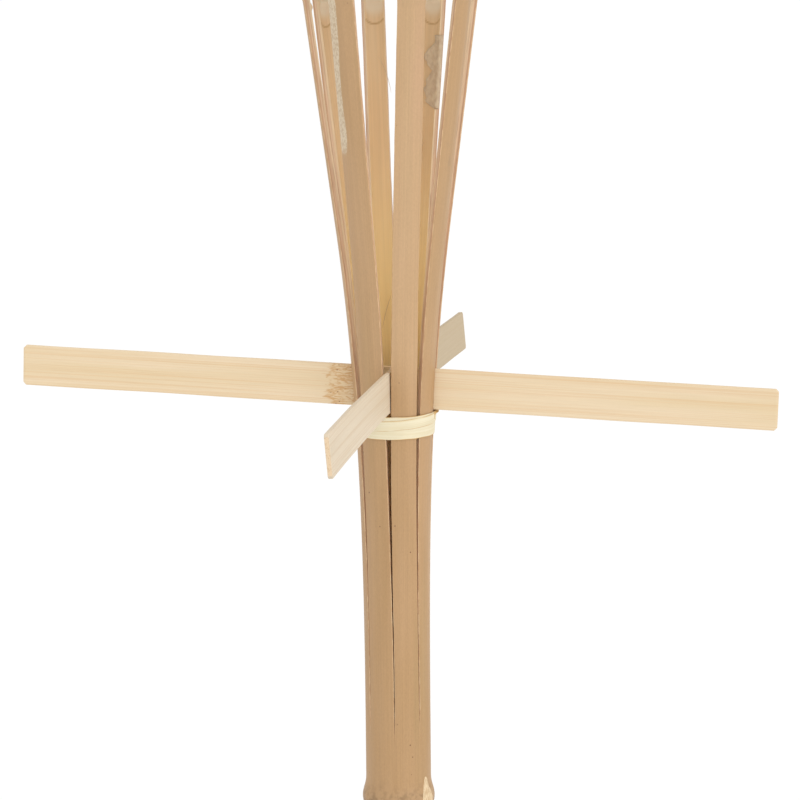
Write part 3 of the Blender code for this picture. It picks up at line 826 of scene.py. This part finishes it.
def make_tie(look):
    """The bast strip: a level turn at the bottom, turns that slant and cross over it, and its twisted end."""
    low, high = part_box("bast_tie")
    height = high.z - low.z
    mesh = Mesh()
    steps_per_turn = 128
    front = VIEW_AZIMUTH - pi / 2
    # Each turn's start and end, counted from the front, its height at both, its layer and its width
    turns = (
        (-0.5, 0.53, 0.28, 0.28, 0, 0.56),
        (-0.46, 0.55, 0.70, 0.72, 0, 0.56),
        (-0.30, 0.36, 0.50, 0.78, 1, 0.42),
    )
    for number, (start, end, z_start, z_end, layer, width) in enumerate(turns):
        stations = []
        count = int((end - start) * steps_per_turn)
        for share in shares(count):
            turn = start + (end - start) * share
            angle = front + 2 * pi * turn
            level = z_start + (z_end - z_start) * smooth(share)
            z = low.z + height * level
            nearby = [wrapped_radius(angle + reach, z) for reach in (-0.26, -0.13, 0, 0.13, 0.26)]
            radius = max(sum(nearby) / len(nearby), nearby[2]) + 0.0004 + 0.00036 * layer
            radius += 0.0004 * smooth(turn - 0.48) + 0.00004 * drift(number + 2, angle, 0.4)
            outward = polar(1, angle)
            ends = min(smooth(share / 0.06), smooth((1 - share) / 0.05))
            wide = height * width * (0.45 + 0.55 * ends) * (1 + 0.04 * drift(number + 8, angle, 0.35))
            middle = polar(radius, angle, z)
            lean = polar(0.07, angle, 1).normalized()
            stations.append((middle, outward, lean, wide, radius * angle + number))
        ribbon(mesh, stations)
    # The end: tucked under the top turn and twisted to a point on the right
    stations = []
    right = front + radians(72)
    for share in shares(14):
        angle = right + radians(16) * share
        z = high.z - height * (0.16 - 0.24 * share * share)
        radius = wrapped_radius(angle, min(z, high.z)) + 0.0009 + 0.0012 * share**2
        outward = polar(1, angle)
        spin = Matrix.Rotation(radians(150) * share, 3, polar(1, angle + pi / 2, 0.3).normalized())
        width = 0.0034 * (1 - share) ** 0.8 + 0.0005
        upward = spin @ Vector((0, 0, 1))
        stations.append((polar(radius, angle, z), spin @ outward, upward, width, share))
    ribbon(mesh, stations, 4, tone=0.8)
    mesh.piece("bast_wraps", [look], ["bast_tie"], 50)


def make_weave(look):
    """Seven flat weavers, over one strip and under the next, each with its ends lapped over a strip."""
    steps = 30 * STRIPS
    for row in range(7):
        node = f"weaver_row_{row + 1}"
        low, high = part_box(node)
        z_row = (low.z + high.z) / 2
        width = high.z - low.z - 0.0002
        first_strip = row % 2
        reach = WEAVER_THICKNESS / 2 + WEAVER_CLEARANCE
        half = SECTOR / 2
        lap_strip = first_strip + 2 * ((row * 3) % 4)
        lap_middle = SECTOR * (lap_strip + 0.5)
        lap = radians(15)
        mesh = Mesh()
        stations = []
        whole = 2 * pi + 2 * lap
        count = int(steps * whole / (2 * pi))
        for share in shares(count):
            turn = share * whole
            angle = lap_middle - lap + turn
            z = z_row + 0.0002 * drift(row + 2, cos(angle) * 2 + sin(angle), 0.8)
            out = opening(z)
            outside = out + CULM_RADIUS + reach
            inner = hypot(out + CULM_BORE * cos(half), CULM_BORE * sin(half)) - reach
            phase = (angle - SECTOR * (first_strip + 0.5)) * STRIPS / 2
            radius = (outside + inner) / 2 + (outside - inner) / 2 * cos(phase)
            over = smooth((turn - 2 * pi + radians(5)) / radians(5))
            radius += over * WEAVER_THICKNESS * 0.9
            slope = -(outside - inner) / 2 * sin(phase) * STRIPS / 2
            radial = polar(1, angle)
            tangent = polar(radius, angle + pi / 2) + radial * slope
            outward = Vector((tangent.y, -tangent.x, 0)).normalized()
            lean_out = (opening(z + 0.001) - opening(z - 0.001)) / 0.002
            lean = (outward * lean_out + Vector((0, 0, 1))).normalized()
            ends = min(turn, whole - turn) / radians(2.2)
            wide = width * (0.72 + 0.28 * smooth(ends)) * (1 + 0.025 * drift(row + 30, angle, 0.3))
            stations.append((polar(radius, angle, z), outward, lean, wide, radius * angle))
        tone = (0.15, 0.55, 0.3, 0.75, 0.05, 0.45, 0.6)[row]
        ribbon(mesh, stations, 8, WEAVER_THICKNESS * 0.85, tone)
        mesh.piece(f"basket_row_{row + 1}", [look], [node])


def inside_place(index, side, lift, z):
    """A place lift above a strip's inner face and side to the left of its middle, seen from the axis."""
    out = opening(z)
    angle = side / CULM_BORE
    radius = CULM_BORE - lift
    local = polar(radius, angle, z) + Vector((out, 0, 0))
    return Matrix.Rotation(SECTOR * (index + 0.5), 3, "Z") @ local


def make_flake(look):
    """The ragged two-lobed flake of inner membrane that peels from a strip's edge."""
    low_z, high_z = 0.8035, 0.8415
    edge = -CULM_BORE * SECTOR / 2
    mesh = Mesh()
    rows = []
    steps_up, steps_across = 60, 16
    for up in shares(steps_up):
        z = low_z + (high_z - low_z) * up
        upper = max(1 - abs(up - 0.70) / 0.26, 0.0) ** 0.8
        lower = sqrt(max(1 - ((up - 0.27) / 0.27) ** 2, 0.0))
        ragged = 1 + 0.12 * drift(4, z, 0.0035) + 0.07 * drift(5, z, 0.0011)
        reach = max(0.0092 * upper, 0.0074 * lower, 0.0008 + 0.0022 * smooth(up * 3)) * ragged
        row = []
        for j in range(steps_across + 1):
            side = -0.0022 + (reach + 0.0022) * j / steps_across
            lift = 0.0003 + 0.0012 * smooth(side / 0.009) + 0.0003 * drift(j // 3 + 11, z, 0.006)
            # Its first part is folded round the strip's edge
            local = (edge - 0.0003, side) if side < 0 else (edge - 0.0003 + side, lift)
            row.append(mesh.point(inside_place(FLAKED_STRIP, *local, z), (side, lift, z)))
        rows.append(row)
    mesh.skin(rows, ring=False)
    flake = mesh.piece("membrane_flake", [look], smooth_angle=80)
    flake.modifiers.new("thickness", "SOLIDIFY").thickness = 0.00012


def make_fibres(look):
    """Loose hairs on the inner faces: each one's strip, and (side, lift, z) in millimetres along it."""
    hairs = (
        (2, ((-1.2, 0.1, 830.5), (-4.2, 1.0, 824.5), (-7.0, 1.8, 817.0), (-8.6, 2.4, 811.0))),
        (1, ((0.0, 0.1, 787.0), (1.8, 1.0, 783.0), (4.2, 1.8, 776.0), (6.0, 2.2, 770.0))),
        (2, ((-3.5, 0.1, 706.0), (-1.2, 0.8, 700.0), (0.8, 1.2, 694.0), (2.2, 1.4, 689.0))),
    )
    sides, steps = 6, 24
    for number, (index, path) in enumerate(hairs):
        places = [inside_place(index, *(value / 1000 for value in place)) for place in path]
        curve = [catmull(places, share) for share in shares(steps)]
        mesh = Mesh()
        rows = []
        for i, middle in enumerate(curve):
            ahead = curve[min(i + 1, steps)] - curve[max(i - 1, 0)]
            frame = ahead.to_track_quat("Z", "Y")
            radius = 0.00014 * (1 - 0.8 * abs(2 * i / steps - 1) ** 2)
            ring = [middle + frame @ polar(radius, 2 * pi * k / sides) for k in range(sides)]
            rows.append([mesh.point(place, place) for place in ring])
        mesh.tube(rows)
        mesh.piece(f"loose_fibre_{number + 1}", [look], smooth_angle=80)


def catmull(points, share):
    """A smooth curve through all the points, at a share of the way along."""
    place = share * (len(points) - 1)
    i = min(int(place), len(points) - 2)
    t = place - i
    before, start, end, after = (Vector(points[min(max(k, 0), len(points) - 1)]) for k in range(i - 1, i + 3))
    return 0.5 * (2 * start + (end - before) * t + (2 * before - 5 * start + 4 * end - after) * t**2
                  + (3 * start - before - 3 * end + after) * t**3)


# Turned metal


def rounded(outline, radius, steps=4):
    """A closed outline of (r, z) with its corners rounded, except on the axis."""
    found = []
    count = len(outline)
    for i, corner in enumerate(outline):
        here = Vector(corner)
        before, after = Vector(outline[i - 1]) - here, Vector(outline[(i + 1) % count]) - here
        cut = min(radius, before.length * 0.45, after.length * 0.45)
        if corner[0] == 0 or cut == 0:
            found.append(here)
            continue
        start, end = here + before.normalized() * cut, here + after.normalized() * cut
        for t in shares(steps):
            found.append(start * (1 - t) ** 2 + here * 2 * t * (1 - t) + end * t**2)
    return found


def turned(name, node, body, material, outline, sides, shape=None, paint_on=None):
    """A turned piece from a closed outline of (r, z); shape(angle, r, z) may move a point in or out."""
    mesh = Mesh()
    columns = []
    for side in range(sides):
        angle = 2 * pi * side / sides
        column = []
        for r, z in outline:
            place = polar(r + (shape(angle, r, z) if shape and r > 0 else 0.0), angle, z)
            column.append(mesh.point(place, place, **(paint_on(r, z) if paint_on else {})))
        columns.append(column)
    mesh.skin(columns + [columns[0]])
    mesh.piece(name, [material], [node], body=body)


def make_canister(tin):
    wall_low, wall_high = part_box("canister_wall")
    disc_low, disc_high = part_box("canister_bottom")
    sheet = 0.0008
    seam_radius = disc_high.x
    radius = seam_radius - 0.0003 - sheet
    rim = wall_high.x
    flange_z = wall_high.z - sheet
    bead = [(radius, flange_z - 0.020), (radius + 0.0006, flange_z - 0.0185), (radius, flange_z - 0.017)]
    lower_bead = [(r, z - 0.045) for r, z in bead]
    outline = [(radius, wall_low.z)] + lower_bead + bead + [(radius, flange_z), (rim, flange_z)]
    outline += [(rim, wall_high.z), (radius - sheet, wall_high.z), (radius - sheet, wall_low.z)]
    turned("fuel_canister_wall", "canister_wall", "canister", tin, rounded(outline, 0.0006), 128)

    outline = [(0, disc_low.z + 0.0006), (radius - 0.006, disc_low.z + 0.0006), (radius - 0.004, disc_low.z)]
    outline += [(seam_radius, disc_low.z), (seam_radius, disc_high.z), (seam_radius - sheet, disc_high.z)]
    outline += [(seam_radius - sheet, wall_low.z - 0.0003), (0, wall_low.z - 0.0003)]
    outline = rounded(outline, 0.0005)
    turned("fuel_canister_bottom", "canister_bottom", "canister", tin, outline, 128)

    low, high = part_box("canister_lid")
    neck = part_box("filler_neck")[1].x
    dome = radius - sheet
    lid_z = flange_z + sheet + 0.0003
    hole = 0.0153
    foot = neck + 0.0003
    underside = high.z - sheet
    lid_top = lid_z + sheet
    outline = [(hole, underside), (foot, underside), (foot + 0.003, underside - 0.0008), (dome, lid_z)]
    outline += [(high.x - sheet, lid_z), (high.x - sheet, low.z), (high.x, low.z), (high.x, lid_top)]
    outline += [(dome + 0.001, lid_top), (dome, lid_top + 0.0002), (foot + 0.003, high.z - 0.0008)]
    outline += [(foot, high.z), (hole, high.z)]
    turned("fuel_canister_lid", "canister_lid", "canister", tin, rounded(outline, 0.0005), 128)


def thread(pitch, depth, low, high):
    """A shape function for a rounded screw thread between two heights."""
    def shape(angle, r, z):
        if not low < z < high:
            return 0.0
        fade = smooth((z - low) / 0.0008) * smooth((high - z) / 0.0008)
        return -depth * fade * (0.5 + 0.5 * cos(2 * pi * (z / pitch) - angle))
    return shape


def make_neck(metal):
    low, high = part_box("filler_neck")
    flange_top = low.z + 0.0008
    radius, bore = 0.0150, 0.0138
    outline = [(bore, low.z), (high.x, low.z), (high.x, flange_top), (radius, flange_top)]
    threads = 28
    outline += [(radius, flange_top + (high.z - flange_top) * i / threads) for i in range(1, threads)]
    outline += [(radius, high.z), (bore, high.z)]
    cut = thread(0.003, 0.0005, flange_top + 0.001, high.z - 0.0008)
    shape = lambda angle, r, z: cut(angle, r, z) if r > radius - 1e-5 else 0.0
    turned("threaded_neck", "filler_neck", "canister", metal, rounded(outline, 0.0002, 2), 96, shape)


def make_gasket(look):
    low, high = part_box("cap_gasket")
    inner = high.x - 0.0016
    outline = [(inner, low.z), (high.x, low.z), (high.x, high.z), (inner, high.z)]
    turned("sealing_ring", "cap_gasket", "cap_seal", look, rounded(outline, 0.0004), 64)


def make_burner_cap(metal):
    """The screw cap, with fine flutes round its rim for the fingers."""
    low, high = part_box("burner_cap")
    rim = high.x
    bore = rim - 0.0016
    top = high.z
    underside = top - 0.0012
    hole = 0.0063
    band = [(rim - 0.0001, low.z), (rim, low.z + 0.0012)]
    grip = [(rim, low.z + 0.0012 + (top - low.z - 0.0024) * i / 6) for i in range(1, 7)]
    outline = [(hole, underside), (bore, underside), (bore, low.z)] + band + grip
    outline += [(rim - 0.0009, top), (0.0105, top), (0.0095, top - 0.0003), (hole, top - 0.0003)]

    def flutes(angle, r, z):
        inside = smooth((z - low.z - 0.0008) / 0.0008) * smooth((top - 0.0010 - z) / 0.0008)
        return -0.00045 * inside * (0.5 - 0.5 * cos(60 * angle)) if r > rim - 0.0002 else 0.0

    outline = rounded(outline, 0.00025, 2)
    turned("screw_cap", "burner_cap", "burner", metal, outline, 480, flutes)


def make_wick_tube(metal):
    low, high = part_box("wick_tube")
    radius, bore = 0.006, 0.0052
    flange_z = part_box("burner_cap")[1].z + 0.0003
    flange_top = flange_z + 0.0008
    outline = [(bore, low.z), (radius, low.z), (radius, flange_z), (high.x, flange_z), (high.x, flange_top)]
    outline += [(radius + 0.0003, flange_top), (radius, flange_top + 0.0004), (radius, high.z - 0.0012)]
    outline += [(radius + 0.0002, high.z - 0.0008), (radius, high.z), (bore, high.z)]
    turned("burner_tube", "wick_tube", "burner", metal, rounded(outline, 0.0003), 64)


def make_wick(look):
    """A round braid: two sets of strands that cross, with a frayed and scorched top."""
    low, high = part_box("wick")
    radius = high.x
    steps = 220
    strands = 8
    pitch = 0.016
    outline = [(0, low.z), (radius * 0.75, low.z)]
    outline += [(radius, low.z + 0.0006 + (high.z - low.z - 0.0018) * i / steps) for i in range(steps + 1)]
    outline += [(radius * 0.82, high.z - 0.0004), (radius * 0.45, high.z), (0, high.z)]

    def braid(angle, r, z):
        one = cos(strands / 2 * (angle + 2 * pi * z / pitch))
        other = cos(strands / 2 * (angle - 2 * pi * z / pitch))
        over = max(abs(one), abs(other))
        fray = 0.0003 * noise.noise(polar(9, angle, z * 1500))
        worn = smooth((z - high.z + 0.004) / 0.004)
        return -0.00065 * (1 - over) * (1 - 0.6 * worn) - abs(fray) * worn * 1.4

    soot = lambda r, z: {"soot": smooth((z - high.z + 0.0065) / 0.0055)}
    turned("braided_wick", "wick", "wick_rope", look, outline, 72, braid, soot)


def make_snuffer(tin):
    """The cap that puts the flame out: a drawn cup with a rolled lip and a turned knob."""
    low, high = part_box("snuffer")
    outside = high.x
    bore = outside - 0.0008
    knob = 0.0045
    knob_z = high.z - knob
    shoulder = knob_z - knob * cos(asin(0.002 / knob)) - 0.002
    ceiling = shoulder - 0.0008
    outline = [(0, ceiling), (bore - 0.0008, ceiling), (bore, ceiling - 0.0008), (bore, low.z + 0.0002)]
    outline += [(bore + 0.0001, low.z), (outside, low.z), (outside, low.z + 0.0012)]
    outline += [(outside - 0.0002, low.z + 0.0016), (outside - 0.0002, shoulder - 0.0016)]
    outline += [(outside - 0.0010, shoulder - 0.0003)]
    outline += [(outside - 0.0024, shoulder), (0.0026, shoulder), (0.002, shoulder + 0.0006)]
    start = asin(0.002 / knob)
    arc = 14
    for step in range(arc):
        turn = start + (pi - start) * step / arc
        outline.append((knob * sin(turn), knob_z - knob * cos(turn)))
    outline.append((0, high.z))
    turned("flame_snuffer", "snuffer", "snuffer_cap", tin, rounded(outline, 0.00015, 2), 96)


# The stage


def make_floor(z):
    mesh = bpy.data.meshes.new("floor")
    corners = [(-60, -60, z), (60, -60, z), (60, 60, z), (-60, 60, z)]
    mesh.from_pydata(corners, [], [(0, 1, 2, 3)])
    mesh.materials.append(Look("floor", 0.9, paint(250, 250, 250), specular=0.0).material)
    add_object("floor", mesh)


def make_lights():
    """An even white surround, and a broad soft light from the front right."""
    world = bpy.data.worlds.new("studio")
    world.use_nodes = True
    surround = world.node_tree.nodes["Background"]
    surround.inputs["Color"].default_value = (1.0, 1.0, 1.0, 1.0)
    surround.inputs["Strength"].default_value = 0.86
    bpy.context.scene.world = world
    for name, azimuth, elevation, strength, spread in (("key", 52, 36, 0.95, 45), ("fill", 0, 60, 0.1, 70)):
        data = bpy.data.lights.new(name, "SUN")
        data.energy = strength
        data.angle = radians(spread)
        towards = direction(radians(azimuth), radians(elevation))
        lamp = add_object(name, data)
        lamp.rotation_mode = "QUATERNION"
        lamp.rotation_quaternion = towards.to_track_quat("Z", "Y")


def make_camera(crossing):
    """The camera looks at the slats' crossing from the front right, a little from above."""
    back = direction(VIEW_AZIMUTH, VIEW_ELEVATION)
    right = polar(1, VIEW_AZIMUTH)
    data = bpy.data.cameras.new("camera")
    data.sensor_width = 36.0
    data.lens = VIEW_LENS
    data.clip_end = 200.0
    camera = add_object("camera", data)
    camera.location = crossing + back * VIEW_DISTANCE
    aim = crossing + right * AIM_RIGHT - back.cross(right) * AIM_BELOW
    facing = (camera.location - aim).to_track_quat("Z", "Y")
    camera.rotation_mode = "QUATERNION"
    camera.rotation_quaternion = facing @ Quaternion((0, 0, 1), -VIEW_ROLL)
    bpy.context.scene.camera = camera


def main():
    make_camera(Vector((0, 0, SLAT_Z)))
    make_lights()
    make_floor(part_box("pole")[0].z)
    bpy.context.scene.view_settings.view_transform = "Standard"

    culm = [culm_skin(), culm_corner(), culm_wall(), culm_inside(), end_grain()]
    make_pole(culm)
    make_strips(culm)
    make_branch_scars(scar_wood())
    warm, cool, ends = slat_wood(), slat_cool_wood(), slat_end()
    knot = lambda along: bump(along + 0.0265, 0.0165)
    # Painted shade, growing towards the front-back slat's back end
    back_end_shade = lambda along: smooth(along / 0.08)
    make_slat("slat_left_right", 1, 0.0, LEFT_RIGHT_TILT, [warm, ends], 0.0, 0.0, knot)
    make_slat("slat_front_back", -1, pi / 2, FRONT_BACK_TILT, [cool, ends], -0.004, SLAT_TWIST, back_end_shade)
    make_tie(bast())
    make_weave(weaver_wood())
    peeled = membrane()
    make_flake(peeled)
    make_fibres(peeled)
    tin = tinplate("tinplate", paint(188, 186, 178), 0.0)
    metal = brass()
    make_canister(tin)
    make_neck(metal)
    make_gasket(rubber())
    make_burner_cap(metal)
    make_wick_tube(metal)
    make_wick(wick_fibre())
    make_snuffer(tinplate("snuffer_tin", paint(178, 176, 170), 3.0))


main()
